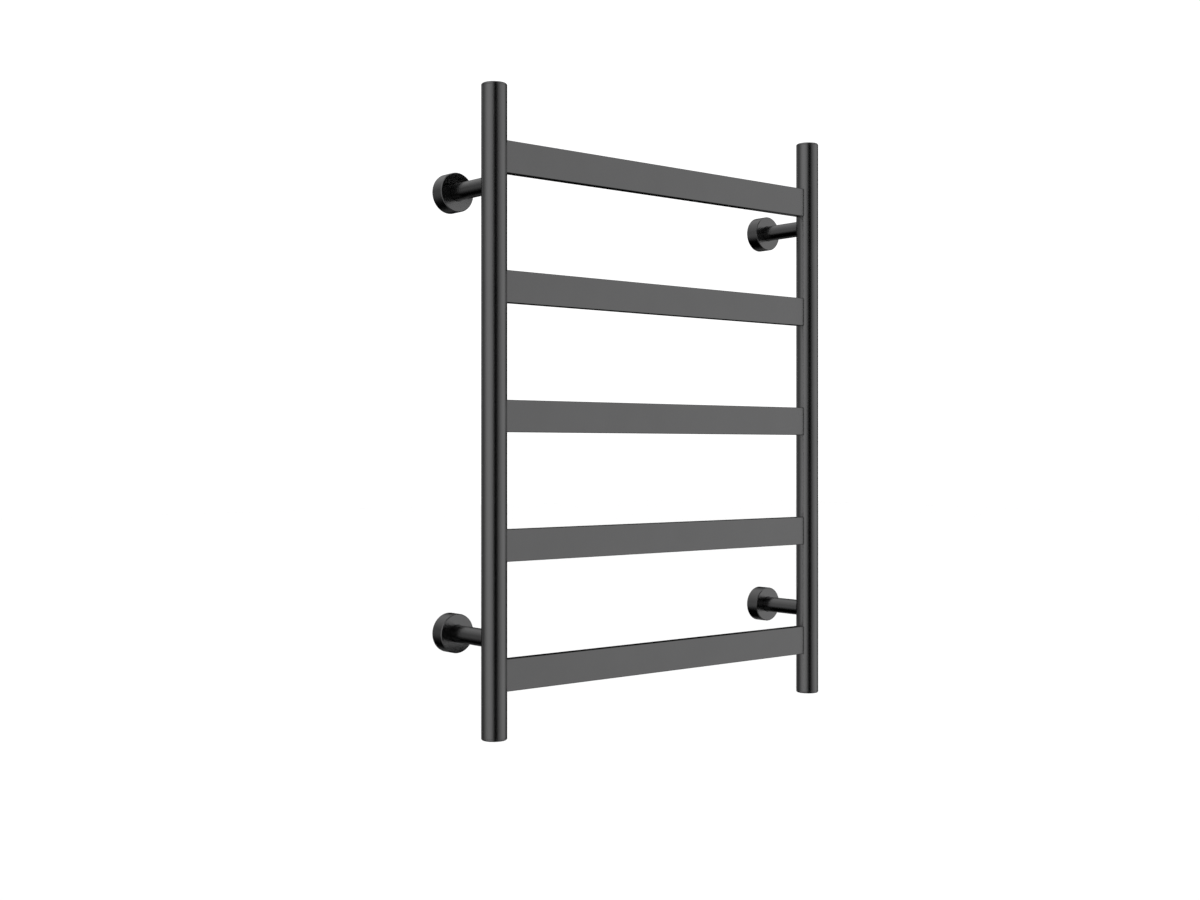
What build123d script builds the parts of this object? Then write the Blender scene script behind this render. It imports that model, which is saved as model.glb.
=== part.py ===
from build123d import *
import math
import os

# Wall-hung electric towel warmer rack: two round uprights, five flat crossbars, four stand-off posts.
#
# Frame: millimetres. +X is to the right of a person facing the rack, +Y runs towards the wall, +Z is up.
# The origin is on the wall plane, in the middle of the four wall fixings.

# ---------------------------------------------------------------- overall sizes
OVERALL_WIDTH = 600.0
OVERALL_HEIGHT = 806.0
WALL_TO_AXIS = 99.0          # wall plane to the axes of the uprights

# ---------------------------------------------------------------- uprights and their end caps
UPRIGHT_OD = 32.0
UPRIGHT_WALL = 1.5
CAP_FLANGE = 3.0
CAP_SPIGOT = 8.0
CAP_CHAMFER = 1.2
CAP_CLEARANCE = 0.05

# ---------------------------------------------------------------- crossbars
BAR_COUNT = 5
BAR_HEIGHT = 40.0
BAR_DEPTH = 13.0
BAR_WALL = 1.5
BAR_CORNER = 1.0             # outside corner radius
BAR_REACH = 0.5              # how far the ends pass the inner face of the upright's wall
TOP_MARGIN = 68.0            # top of the upright to the top of the first bar
BOTTOM_MARGIN = 58.0         # bottom of the upright to the bottom of the last bar

# ---------------------------------------------------------------- stand-off posts
POST_OD = 22.0
POST_WALL = 1.8
POST_INSET = 123.0           # end of the upright to the post's axis
POST_REACH = 0.5             # how far the post's end passes the inner face of the upright's wall
WELD_GAP = 0.05              # slip fit that the welds close

# ---------------------------------------------------------------- wall brackets
PLATE_THICKNESS = 4.0
PLATE_CHAMFER = 0.5
COLLAR_LENGTH = 8.0
COLLAR_WALL = 3.4
COLLAR_CLEARANCE = 0.1       # collar bore over the post
SCREW_SEAT = 8.5             # width of the ring between the collar and the plate's rim
SCREW_HOLE_DIAMETER = 4.5
SCREW_HEAD_DIAMETER = 7.6
SCREW_HEAD_DEPTH = 1.8
CABLE_HOLE_DIAMETER = 14.0

# ---------------------------------------------------------------- clamping screws in the collars
GRUB_DIAMETER = 5.0
GRUB_LENGTH = 5.0
GRUB_SOCKET = 2.5            # across the flats of the hexagon socket
GRUB_SOCKET_DEPTH = 2.5
GRUB_CHAMFER = 0.6
GRUB_CLEARANCE = 0.02

# ---------------------------------------------------------------- sliding cover flanges
COVER_DEPTH = 20.0
COVER_WALL = 1.5
COVER_FACE = 2.0
COVER_CHAMFER = 0.9
COVER_BOSS_WALL = 3.5
COVER_BOSS_DEPTH = 6.5
COVER_BORE_CLEARANCE = 0.3
COVER_TO_PLATE = 0.5         # radial gap between the cover and the bracket's plate
O_RING_SECTION = 2.0
O_RING_CLEARANCE = 0.05
GROOVE_START = 2.6           # cover's front face to the groove
GROOVE_SIDE_GAP = 0.2

# ---------------------------------------------------------------- electrical parts
HEATER_DIAMETER = 4.5
END_SEAL_DIAMETER = 7.0
END_SEAL_LENGTH = 30.0
END_SEAL_INSET = 60.0        # upright's axis to the end seal's tip
SPACER_LENGTH = 12.0
SPACER_GAP = 0.2
SPACER_INSET = 110.0         # upright's axis to the spacer's middle
LEAD_DIAMETER = 5.0
CUTOUT_SIZE = (26.0, 8.0, 10.0)
CUTOUT_INSET = 52.0          # upright's axis to the near end of the thermal cut-out
LINK_LENGTH = 14.0           # short lead between the cut-out and the splice
SPLICE_DIAMETER = 8.0
SPLICE_LENGTH = 24.0
CONNECTOR_LENGTH = 22.0
CONNECTOR_CLEARANCE = 0.15
CONNECTOR_SETBACK = 6.0      # bracket's plate to the connector
PIN_HOLE_DIAMETER = 2.6
PIN_HOLE_DEPTH = 12.0
PIN_CIRCLE_RADIUS = 4.6
GROMMET_BORE = 8.0
GROMMET_FLANGE = 1.5
GROMMET_LIP = 1.5            # how far the flange stands out past the hole
EARTH_WIRE_DIAMETER = 2.4
EARTH_OFFSET = 6.0           # lead's axis to the earth wire's axis
BARREL_LENGTH = 8.0
BARREL_WALL = 0.6
TERMINAL_THICKNESS = 1.0
TERMINAL_DIAMETER = 9.0
EARTH_SCREW_DIAMETER = 4.0
EARTH_SCREW_LENGTH = 6.0
EARTH_HEAD_DIAMETER = 7.0
EARTH_HEAD_HEIGHT = 2.4
DRIVER_SLOT_WIDTH = 1.0
DRIVER_SLOT_DEPTH = 1.2
CONTACT = 0.02               # gap left between pieces that only touch
BEND_SHARE = 0.45            # share of the shorter run that a cable's bend may take
BEND_CLEARANCE = 1.0         # between a cable's bend and the edge of the tube that it turns out of

# ---------------------------------------------------------------- worked-out places
UPRIGHT_R = UPRIGHT_OD / 2
UPRIGHT_BORE = UPRIGHT_R - UPRIGHT_WALL
AXIS_X = OVERALL_WIDTH / 2 - UPRIGHT_R
AXIS_Y = -WALL_TO_AXIS
HALF_HEIGHT = OVERALL_HEIGHT / 2
POST_R = POST_OD / 2
POST_BORE = POST_R - POST_WALL
POST_Z = HALF_HEIGHT - POST_INSET
FIRST_BAR_Z = HALF_HEIGHT - TOP_MARGIN - BAR_HEIGHT / 2
LAST_BAR_Z = -HALF_HEIGHT + BOTTOM_MARGIN + BAR_HEIGHT / 2
BAR_PITCH = (FIRST_BAR_Z - LAST_BAR_Z) / (BAR_COUNT - 1)
BAR_Z = [FIRST_BAR_Z - BAR_PITCH * i for i in range(BAR_COUNT)]
BAR_END_X = AXIS_X - math.sqrt(UPRIGHT_BORE**2 - (BAR_DEPTH / 2) ** 2) + BAR_REACH
POST_END_Y = AXIS_Y + math.sqrt(UPRIGHT_BORE**2 - POST_R**2) - POST_REACH
COLLAR_BORE = POST_R + COLLAR_CLEARANCE
COLLAR_R = COLLAR_BORE + COLLAR_WALL
PLATE_R = COLLAR_R + SCREW_SEAT
SCREW_OFFSET = COLLAR_R + SCREW_SEAT / 2
COVER_BORE = POST_R + COVER_BORE_CLEARANCE
COVER_INNER = PLATE_R + COVER_TO_PLATE
COVER_R = COVER_INNER + COVER_WALL
GRUB_Y = -(PLATE_THICKNESS + COLLAR_LENGTH / 2)
PLACES = {
    "upper_left": (-AXIS_X, POST_Z),
    "upper_right": (AXIS_X, POST_Z),
    "lower_left": (-AXIS_X, -POST_Z),
    "lower_right": (AXIS_X, -POST_Z),
}
SUPPLY_X, SUPPLY_Z = PLACES["lower_right"]
CONNECTOR_Y = -(PLATE_THICKNESS + CONNECTOR_SETBACK)
LEAD_Y = CONNECTOR_Y - CONNECTOR_LENGTH
CUTOUT_X = SUPPLY_X - CUTOUT_INSET
LINK_X = CUTOUT_X - CUTOUT_SIZE[0]
SPLICE_X = LINK_X - LINK_LENGTH
HEATER_X = SPLICE_X - SPLICE_LENGTH
EARTH_X = SUPPLY_X
SPIGOT_TOP = -HALF_HEIGHT + CAP_FLANGE + CAP_SPIGOT
EARTH_HOLE_DEPTH = EARTH_SCREW_LENGTH - TERMINAL_THICKNESS + 1


def rod(radius, start, end):
    """A round bar between two points."""
    axis = Vector(*end) - Vector(*start)
    place = Plane(origin=start, z_dir=axis)
    return extrude(place * Circle(radius), axis.length)


def ring(outer, inner, start, end):
    """A round tube between two points."""
    return rod(outer, start, end) - rod(inner, start, end)


def turned(outline, x, z):
    """Turns an outline of (radius, distance from the wall) points about a post's axis."""
    face = make_face(Polyline(*[(r, -d) for r, d in outline], close=True))
    return Pos(x, 0, z) * revolve(face, Axis.Y)


def swept(diameter, points, bend):
    """A round cable along straight runs joined by tangent arcs; prints how its volume compares."""
    path = FilletPolyline(*points, radius=bend)
    section = Plane(origin=path @ 0, z_dir=path % 0) * Circle(diameter / 2)
    cable = sweep(section, path=path)
    share = cable.volume / (math.pi * diameter**2 / 4 * path.length)
    print(f"{diameter} mm cable: {path.length:.0f} mm long, {bend:.1f} mm bends, volume ratio {share:.4f}")
    return cable


# ---------------------------------------------------------------- frame
def bar_section(grow=0.0):
    """The crossbar's outline across X; grow moves it outwards, or inwards if it is below zero."""
    width, height, corner = BAR_DEPTH + 2 * grow, BAR_HEIGHT + 2 * grow, BAR_CORNER + grow
    return RectangleRounded(width, height, corner) if corner > 0 else Rectangle(width, height)


def across(x, z):
    """A plane across a crossbar at x, whose own X runs along the wall's normal and Y runs up."""
    return Plane(origin=(x, AXIS_Y, z), x_dir=(0, 1, 0), z_dir=(1, 0, 0))


def make_upright(side):
    """One round upright, with a slot for each crossbar and a hole for each post."""
    x = side * AXIS_X
    half = HALF_HEIGHT - CAP_FLANGE
    tube = ring(UPRIGHT_R, UPRIGHT_BORE, (x, AXIS_Y, -half), (x, AXIS_Y, half))
    for z in BAR_Z:
        tube -= extrude(across(x, z) * bar_section(WELD_GAP), -side * UPRIGHT_OD)
    for z in (POST_Z, -POST_Z):
        tube -= rod(POST_R + WELD_GAP, (x, AXIS_Y, z), (x, AXIS_Y + UPRIGHT_OD, z))
    return tube


def make_end_cap(side, end):
    """A turned cap: a flange as wide as the upright, chamfered, on a spigot that fits its bore."""
    x, outer = side * AXIS_X, end * HALF_HEIGHT
    seat = outer - end * CAP_FLANGE
    tip = seat - end * CAP_SPIGOT
    flange = rod(UPRIGHT_R, (x, AXIS_Y, seat), (x, AXIS_Y, outer))
    rim = flange.edges().filter_by(GeomType.CIRCLE).sort_by(Axis.Z)[-1 if end > 0 else 0]
    cap = chamfer(rim, CAP_CHAMFER)
    cap += rod(UPRIGHT_BORE - CAP_CLEARANCE, (x, AXIS_Y, tip), (x, AXIS_Y, seat))
    if (x, end) == (EARTH_X, -1):
        hole = EARTH_SCREW_DIAMETER / 2 + CONTACT
        cap -= rod(hole, (x, AXIS_Y, tip), (x, AXIS_Y, tip - EARTH_HOLE_DEPTH))
    return cap


def make_crossbar(z):
    """A flat rectangular tube, open at both ends, whose ends reach into the uprights."""
    walls = bar_section() - bar_section(-BAR_WALL)
    return extrude(across(-BAR_END_X, z) * walls, 2 * BAR_END_X)


# ---------------------------------------------------------------- wall mounts
def make_post(x, z):
    """A stand-off tube from the bracket's plate to just inside the upright."""
    return ring(POST_R, POST_BORE, (x, -PLATE_THICKNESS, z), (x, POST_END_Y, z))


def make_wall_bracket(x, z):
    """A round plate with two countersunk screw holes, and the collar that takes the post."""
    front = -PLATE_THICKNESS
    plate = turned(
        [
            (0, 0),
            (PLATE_R, 0),
            (PLATE_R, PLATE_THICKNESS - PLATE_CHAMFER),
            (PLATE_R - PLATE_CHAMFER, PLATE_THICKNESS),
            (0, PLATE_THICKNESS),
        ],
        x,
        z,
    )
    plate += ring(COLLAR_R, COLLAR_BORE, (x, front, z), (x, front - COLLAR_LENGTH, z))
    plate -= rod(CABLE_HOLE_DIAMETER / 2, (x, 0, z), (x, front, z))
    bore, head = SCREW_HOLE_DIAMETER / 2, SCREW_HEAD_DIAMETER / 2
    countersunk = [
        (0, 0),
        (bore, 0),
        (bore, PLATE_THICKNESS - SCREW_HEAD_DEPTH),
        (head, PLATE_THICKNESS),
        (0, PLATE_THICKNESS),
    ]
    for side in (-1, 1):
        plate -= turned(countersunk, x + side * SCREW_OFFSET, z)
    grub_bore = GRUB_DIAMETER / 2 + GRUB_CLEARANCE
    return plate - rod(grub_bore, (x, GRUB_Y, z), (x, GRUB_Y, z - COLLAR_R - 1))


def make_grub_screw(x, z):
    """A headless hexagon-socket screw, pointing up at the post from below."""
    tip = z - POST_R - CONTACT
    screw = rod(GRUB_DIAMETER / 2, (x, GRUB_Y, tip), (x, GRUB_Y, tip - GRUB_LENGTH))
    screw = chamfer(screw.edges().filter_by(GeomType.CIRCLE).sort_by(Axis.Z)[-1], GRUB_CHAMFER)
    mouth = Plane(origin=(x, GRUB_Y, tip - GRUB_LENGTH), z_dir=(0, 0, 1))
    hexagon = RegularPolygon(GRUB_SOCKET / 2, 6, major_radius=False)
    return screw - extrude(mouth * hexagon, GRUB_SOCKET_DEPTH)


def make_cover(x, z):
    """A cup-shaped flange that slides along the post, with a groove for its grip ring."""
    boss = COVER_BORE + COVER_BOSS_WALL
    groove_floor = POST_R + O_RING_SECTION + 2 * O_RING_CLEARANCE
    groove_near = COVER_DEPTH - GROOVE_START
    groove_far = groove_near - O_RING_SECTION - 2 * GROOVE_SIDE_GAP
    outline = [
        (COVER_INNER, 0),
        (COVER_R, 0),
        (COVER_R, COVER_DEPTH - COVER_CHAMFER),
        (COVER_R - COVER_CHAMFER, COVER_DEPTH),
        (COVER_BORE, COVER_DEPTH),
        (COVER_BORE, groove_near),
        (groove_floor, groove_near),
        (groove_floor, groove_far),
        (COVER_BORE, groove_far),
        (COVER_BORE, COVER_DEPTH - COVER_BOSS_DEPTH),
        (boss, COVER_DEPTH - COVER_BOSS_DEPTH),
        (boss, COVER_DEPTH - COVER_FACE),
        (COVER_INNER, COVER_DEPTH - COVER_FACE),
    ]
    return turned(outline, x, z)


def make_o_ring(x, z):
    """The rubber ring in the cover's groove."""
    y = -(COVER_DEPTH - GROOVE_START - GROOVE_SIDE_GAP - O_RING_SECTION / 2)
    middle = POST_R + O_RING_CLEARANCE + O_RING_SECTION / 2
    place = Plane(origin=(x, y, z), z_dir=(0, 1, 0))
    return place * Torus(middle, O_RING_SECTION / 2)


# ---------------------------------------------------------------- heating and wiring
# Order along the supply: connector, lead, cut-out, link lead, splice, then the heater through every bar.
def bend_past_edge(diameter, along, across_room, shortest_run):
    """The largest bend that clears the edge of the tube a cable turns out of.

    The edge is `along` from the corner of the route, and `across_room` from the straight run.
    """
    keep = diameter / 2 + BEND_CLEARANCE
    largest = along + across_room - keep + math.sqrt(2 * (along - keep) * (across_room - keep))
    return min(largest, BEND_SHARE * shortest_run)


def heater_route():
    """From the splice along the lowest bar, then up and back across each bar, to the end seal."""
    side = -1
    points = [(HEATER_X, AXIS_Y, BAR_Z[-1]), (side * AXIS_X, AXIS_Y, BAR_Z[-1])]
    for z in reversed(BAR_Z[:-1]):
        points += [(side * AXIS_X, AXIS_Y, z), (-side * AXIS_X, AXIS_Y, z)]
        side = -side
    points[-1] = (side * (AXIS_X - END_SEAL_INSET - END_SEAL_LENGTH), AXIS_Y, BAR_Z[0])
    return points


def make_heating_cable():
    """The silicone heating cable, which turns from each bar into an upright as widely as it can."""
    bend = bend_past_edge(HEATER_DIAMETER, AXIS_X - BAR_END_X, BAR_HEIGHT / 2 - BAR_WALL, BAR_PITCH)
    return swept(HEATER_DIAMETER, heater_route(), bend)


def make_end_seal():
    """The moulded cap that closes the heater's far end."""
    start = heater_route()[-1]
    outwards = math.copysign(END_SEAL_LENGTH, start[0])
    return rod(END_SEAL_DIAMETER / 2, start, (start[0] + outwards, AXIS_Y, start[2]))


def make_spacers():
    """Silicone blocks that hold the heater in the middle of the bars, near both ends of each."""
    section = bar_section(-BAR_WALL - SPACER_GAP) - Circle(HEATER_DIAMETER / 2 + CONTACT)
    supply_end = (AXIS_X, BAR_Z[-1])
    blocks = []
    for z in BAR_Z:
        for end_x in (-AXIS_X, AXIS_X):
            middle = end_x - math.copysign(SPACER_INSET, end_x)
            if (end_x, z) == supply_end:
                middle = HEATER_X - SPACER_LENGTH
            blocks.append(extrude(across(middle - SPACER_LENGTH / 2, z) * section, SPACER_LENGTH))
    return Compound(children=blocks)


def make_supply_lead():
    """The lead from the connector into the lowest bar, and the short link after the cut-out."""
    z = BAR_Z[-1]
    route = [
        (SUPPLY_X, LEAD_Y, SUPPLY_Z),
        (SUPPLY_X, AXIS_Y, SUPPLY_Z),
        (SUPPLY_X, AXIS_Y, z),
        (CUTOUT_X, AXIS_Y, z),
    ]
    shortest = min(SUPPLY_Z - z, CUTOUT_INSET)
    bend = bend_past_edge(LEAD_DIAMETER, POST_END_Y - AXIS_Y, POST_BORE, shortest)
    lead = swept(LEAD_DIAMETER, route, bend)
    link = rod(LEAD_DIAMETER / 2, (LINK_X, AXIS_Y, z), (SPLICE_X, AXIS_Y, z))
    return Compound(children=[lead, link])


def make_thermal_cutout():
    """The self-resetting limiter, potted in a rounded block."""
    length, depth, height = CUTOUT_SIZE
    block = Pos(CUTOUT_X - length / 2, AXIS_Y, BAR_Z[-1]) * Box(length, depth, height)
    return fillet(block.edges().filter_by(Axis.X), depth / 4)


def make_splice_sleeve():
    """The sleeve over the joint between lead and heater."""
    z = BAR_Z[-1]
    return rod(SPLICE_DIAMETER / 2, (SPLICE_X, AXIS_Y, z), (HEATER_X, AXIS_Y, z))


def make_connector():
    """The three-pole socket inside the supply post, facing the wall."""
    body = rod(
        POST_BORE - CONNECTOR_CLEARANCE,
        (SUPPLY_X, CONNECTOR_Y, SUPPLY_Z),
        (SUPPLY_X, LEAD_Y, SUPPLY_Z),
    )
    for turn in (90, 210, 330):
        x = SUPPLY_X + PIN_CIRCLE_RADIUS * math.cos(math.radians(turn))
        z = SUPPLY_Z + PIN_CIRCLE_RADIUS * math.sin(math.radians(turn))
        body -= rod(PIN_HOLE_DIAMETER / 2, (x, CONNECTOR_Y, z), (x, CONNECTOR_Y - PIN_HOLE_DEPTH, z))
    return body


def make_grommet():
    """The rubber bush in the supply bracket's cable hole."""
    hole, bore = CABLE_HOLE_DIAMETER / 2 - CONTACT, GROMMET_BORE / 2
    flange = hole + GROMMET_LIP
    seat = PLATE_THICKNESS + CONTACT
    outline = [
        (bore, 0),
        (hole, 0),
        (hole, seat),
        (flange, seat),
        (flange, seat + GROMMET_FLANGE),
        (bore, seat + GROMMET_FLANGE),
    ]
    return turned(outline, SUPPLY_X, SUPPLY_Z)


def make_earth_wire():
    """The earth core, beside the lead through the post, then down into the terminal's barrel."""
    x = EARTH_X + EARTH_OFFSET
    route = [
        (x, LEAD_Y, SUPPLY_Z),
        (x, AXIS_Y, SUPPLY_Z),
        (x, AXIS_Y, SPIGOT_TOP + TERMINAL_THICKNESS + CONTACT),
    ]
    keep = EARTH_WIRE_DIAMETER / 2 + BEND_CLEARANCE
    room = keep + math.sqrt((POST_BORE - keep) ** 2 - EARTH_OFFSET**2)
    bend = bend_past_edge(EARTH_WIRE_DIAMETER, POST_END_Y - AXIS_Y, room, LEAD_Y - AXIS_Y)
    return swept(EARTH_WIRE_DIAMETER, route, bend)


def make_earth_terminal():
    """A flag terminal: a ring under the screw's head, a tab, and a barrel standing up from it."""
    place = Pos(EARTH_X, AXIS_Y, SPIGOT_TOP)
    wire = EARTH_WIRE_DIAMETER / 2 + CONTACT
    barrel = wire + BARREL_WALL
    outline = Circle(TERMINAL_DIAMETER / 2) + Pos(EARTH_OFFSET / 2, 0) * Rectangle(EARTH_OFFSET, 2 * barrel)
    outline += Pos(EARTH_OFFSET, 0) * Circle(barrel)
    outline -= Circle(EARTH_SCREW_DIAMETER / 2 + CONTACT)
    flag = extrude(outline, TERMINAL_THICKNESS)
    tube = Circle(barrel) - Circle(wire)
    flag += Pos(EARTH_OFFSET, 0, TERMINAL_THICKNESS) * extrude(tube, BARREL_LENGTH)
    return place * flag


def make_earth_screw():
    """A slotted cheese-head screw, down through the terminal into the end cap's spigot."""
    seat = SPIGOT_TOP + TERMINAL_THICKNESS
    top = seat + EARTH_HEAD_HEIGHT
    screw = rod(EARTH_HEAD_DIAMETER / 2, (EARTH_X, AXIS_Y, seat), (EARTH_X, AXIS_Y, top))
    tip = seat - EARTH_SCREW_LENGTH
    screw += rod(EARTH_SCREW_DIAMETER / 2, (EARTH_X, AXIS_Y, tip), (EARTH_X, AXIS_Y, seat))
    slot = Box(EARTH_HEAD_DIAMETER + 1, DRIVER_SLOT_WIDTH, 2 * DRIVER_SLOT_DEPTH)
    return screw - Pos(EARTH_X, AXIS_Y, top) * slot


def build():
    """Every node, by name."""
    nodes = {
        "upright_left": make_upright(-1),
        "upright_right": make_upright(1),
    }
    for end_name, end in (("top", 1), ("bottom", -1)):
        for side_name, side in (("left", -1), ("right", 1)):
            nodes[f"end_cap_{end_name}_{side_name}"] = make_end_cap(side, end)
    for i, z in enumerate(BAR_Z):
        nodes[f"crossbar_{i + 1}"] = make_crossbar(z)
    for name, (x, z) in PLACES.items():
        nodes[f"post_{name}"] = make_post(x, z)
        nodes[f"wall_bracket_{name}"] = make_wall_bracket(x, z)
        nodes[f"cover_{name}"] = make_cover(x, z)
        nodes[f"grip_ring_{name}"] = make_o_ring(x, z)
    nodes["grub_screws"] = Compound(children=[make_grub_screw(x, z) for x, z in PLACES.values()])
    nodes["heating_cable"] = make_heating_cable()
    nodes["heating_cable_end_seal"] = make_end_seal()
    nodes["heating_cable_spacers"] = make_spacers()
    nodes["supply_lead"] = make_supply_lead()
    nodes["thermal_cutout"] = make_thermal_cutout()
    nodes["splice_sleeve"] = make_splice_sleeve()
    nodes["supply_connector"] = make_connector()
    nodes["cable_grommet"] = make_grommet()
    nodes["earth_wire"] = make_earth_wire()
    nodes["earth_terminal"] = make_earth_terminal()
    nodes["earth_screw"] = make_earth_screw()
    return nodes


os.makedirs("parts", exist_ok=True)
for node, shape in build().items():
    export_step(shape, f"parts/{node}.step")
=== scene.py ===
import math
from collections import namedtuple

import bpy
import numpy as np
from bpy.props import FloatProperty, FloatVectorProperty, IntProperty, PointerProperty
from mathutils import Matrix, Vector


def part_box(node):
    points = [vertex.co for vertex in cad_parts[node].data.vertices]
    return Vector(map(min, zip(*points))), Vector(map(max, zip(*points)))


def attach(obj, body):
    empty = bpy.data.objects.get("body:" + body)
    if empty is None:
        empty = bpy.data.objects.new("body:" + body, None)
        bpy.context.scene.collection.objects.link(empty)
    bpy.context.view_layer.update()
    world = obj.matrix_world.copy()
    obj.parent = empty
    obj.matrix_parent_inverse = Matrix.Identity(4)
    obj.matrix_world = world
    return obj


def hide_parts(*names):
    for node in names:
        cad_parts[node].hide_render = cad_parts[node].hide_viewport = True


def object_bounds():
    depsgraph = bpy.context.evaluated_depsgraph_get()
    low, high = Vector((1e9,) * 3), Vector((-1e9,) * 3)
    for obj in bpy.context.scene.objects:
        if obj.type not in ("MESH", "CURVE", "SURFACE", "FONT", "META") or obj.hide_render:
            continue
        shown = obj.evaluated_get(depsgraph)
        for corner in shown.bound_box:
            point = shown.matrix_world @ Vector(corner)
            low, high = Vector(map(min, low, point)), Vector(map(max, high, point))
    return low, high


bl_info = {
    "name": "Towel Warmer Rack",
    "version": (1, 0, 0),
    "blender": (4, 5, 0),
    "location": "3D View > Sidebar > Towel Rack",
    "description": "Builds the visible skins, finishes and stage of a wall-hung towel warmer rack",
    "category": "Object",
}

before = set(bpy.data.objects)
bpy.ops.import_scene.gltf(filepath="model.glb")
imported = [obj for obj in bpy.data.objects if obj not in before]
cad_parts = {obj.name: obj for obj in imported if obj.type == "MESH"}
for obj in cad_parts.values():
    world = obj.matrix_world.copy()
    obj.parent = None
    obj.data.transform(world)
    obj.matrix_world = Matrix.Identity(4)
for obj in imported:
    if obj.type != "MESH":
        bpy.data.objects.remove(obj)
CAD_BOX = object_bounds()
MM = 0.001
FULL_TURN = 2 * math.pi
SENSOR_WIDTH_MM = 36.0
SIDES = {"left": -1, "right": 1}
ENDS = {"bottom": -1, "top": 1}
CORNERS = ("upper_left", "upper_right", "lower_left", "lower_right")
BARS = sorted(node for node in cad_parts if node.startswith("crossbar_"))
EARTHED_CAP = "end_cap_bottom_right"
UP = np.array([0.0, 0.0, 1.0])
TO_WALL = np.array([0.0, 1.0, 0.0])
TO_RIGHT = np.array([1.0, 0.0, 0.0])


# ---------------------------------------------------------------- places read from the frame
def middle(node):
    """The centre of a node's box."""
    low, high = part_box(node)
    return np.array((low + high) / 2)


def half_size(node):
    """Half the size of a node's box."""
    low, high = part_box(node)
    return np.array((high - low) / 2)


AXIS_X, AXIS_Y, _ = middle("upright_right")
UPRIGHT_R, _, UPRIGHT_HALF = half_size("upright_right")
POST_R = half_size("post_upper_right")[0]
POST_Z = middle("post_upper_right")[2]
_, BAR_HALF_DEPTH, BAR_HALF_HEIGHT = half_size(BARS[0])


# ---------------------------------------------------------------- shader expressions
class Shader:
    """The node tree of a material or a world, with one method that adds any node."""

    def __init__(self, owner):
        owner.use_nodes = True
        self.owner = owner
        self.tree = owner.node_tree
        self.tree.nodes.clear()

    def node(self, kind, settings=None, **values):
        """Adds a node, sets its settings, then gives its sockets values or links.

        A socket is named with underscores for spaces, or in0, in1 ... by its number.
        """
        made = self.tree.nodes.new("ShaderNode" + kind)
        for key, value in (settings or {}).items():
            if key == "stops":
                self._stops(made.color_ramp, value)
            else:
                setattr(made, key, value)
        for key, value in values.items():
            numbered = key.startswith("in") and key[2:].isdigit()
            socket = made.inputs[int(key[2:]) if numbered else key.replace("_", " ")]
            if isinstance(value, Signal):
                self.tree.links.new(value.socket, socket)
            else:
                socket.default_value = value
        return made

    def signal(self, kind, settings=None, out=0, **values):
        """Adds a node and returns one of its outputs as a signal."""
        return Signal(self, self.node(kind, settings, **values).outputs[out])

    @staticmethod
    def _stops(ramp, stops):
        while len(ramp.elements) > 1:
            ramp.elements.remove(ramp.elements[-1])
        for i, (place, value) in enumerate(stops):
            stop = ramp.elements[0] if i == 0 else ramp.elements.new(place)
            stop.position = place
            stop.color = (value, value, value, 1)

    def finish(self, surface, output="OutputMaterial"):
        """Plugs the surface shader into the output and returns the material or world."""
        self.node(output, Surface=surface)
        return self.owner


class Signal:
    """A number that varies over a surface, with the usual arithmetic."""

    def __init__(self, shader, socket):
        self.shader = shader
        self.socket = socket

    def _math(self, operation, *values):
        inputs = {f"in{i}": value for i, value in enumerate(values)}
        return self.shader.signal("Math", {"operation": operation}, **inputs)

    def __add__(self, other):
        return self._math("ADD", self, other)

    def __radd__(self, other):
        return self._math("ADD", other, self)

    def __sub__(self, other):
        return self._math("SUBTRACT", self, other)

    def __rsub__(self, other):
        return self._math("SUBTRACT", other, self)

    def __mul__(self, other):
        return self._math("MULTIPLY", self, other)

    def __rmul__(self, other):
        return self._math("MULTIPLY", other, self)

    def power(self, exponent):
        return self._math("POWER", self, exponent)

    def size(self):
        return self._math("ABSOLUTE", self)

    def clamped(self):
        return self.shader.signal("Clamp", Value=self)


def new_shader(name):
    """An empty material of that name."""
    return Shader(bpy.data.materials.new(name))


def object_place(shader, stretch=(1, 1, 1)):
    """Object coordinates, scaled along each axis."""
    place = shader.signal("TexCoord", out="Object")
    return shader.signal("Mapping", Vector=place, Scale=stretch)


def parts_of(shader, vector):
    """The three numbers of a vector."""
    split = shader.node("SeparateXYZ", Vector=vector)
    return [Signal(shader, split.outputs[i]) for i in range(3)]


def noise(shader, place, size, detail=2.0, roughness=0.5):
    """Soft noise whose features are about that size across, in metres."""
    return shader.signal("TexNoise", Vector=place, Scale=1 / size, Detail=detail, Roughness=roughness)


def mixed(shader, share, low, high):
    """A colour between two others. A Mix node's colours are its sockets 6 and 7, and its output 2."""
    low, high = [c if isinstance(c, Signal) else (*c, 1) for c in (low, high)]
    node = shader.node("Mix", {"data_type": "RGBA"}, in0=share, in6=low, in7=high)
    return Signal(shader, node.outputs[2])


def shades(colour, spread):
    """The same colour a little darker and a little lighter."""
    return [c * (1 - spread) for c in colour], [c * (1 + spread) for c in colour]


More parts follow.
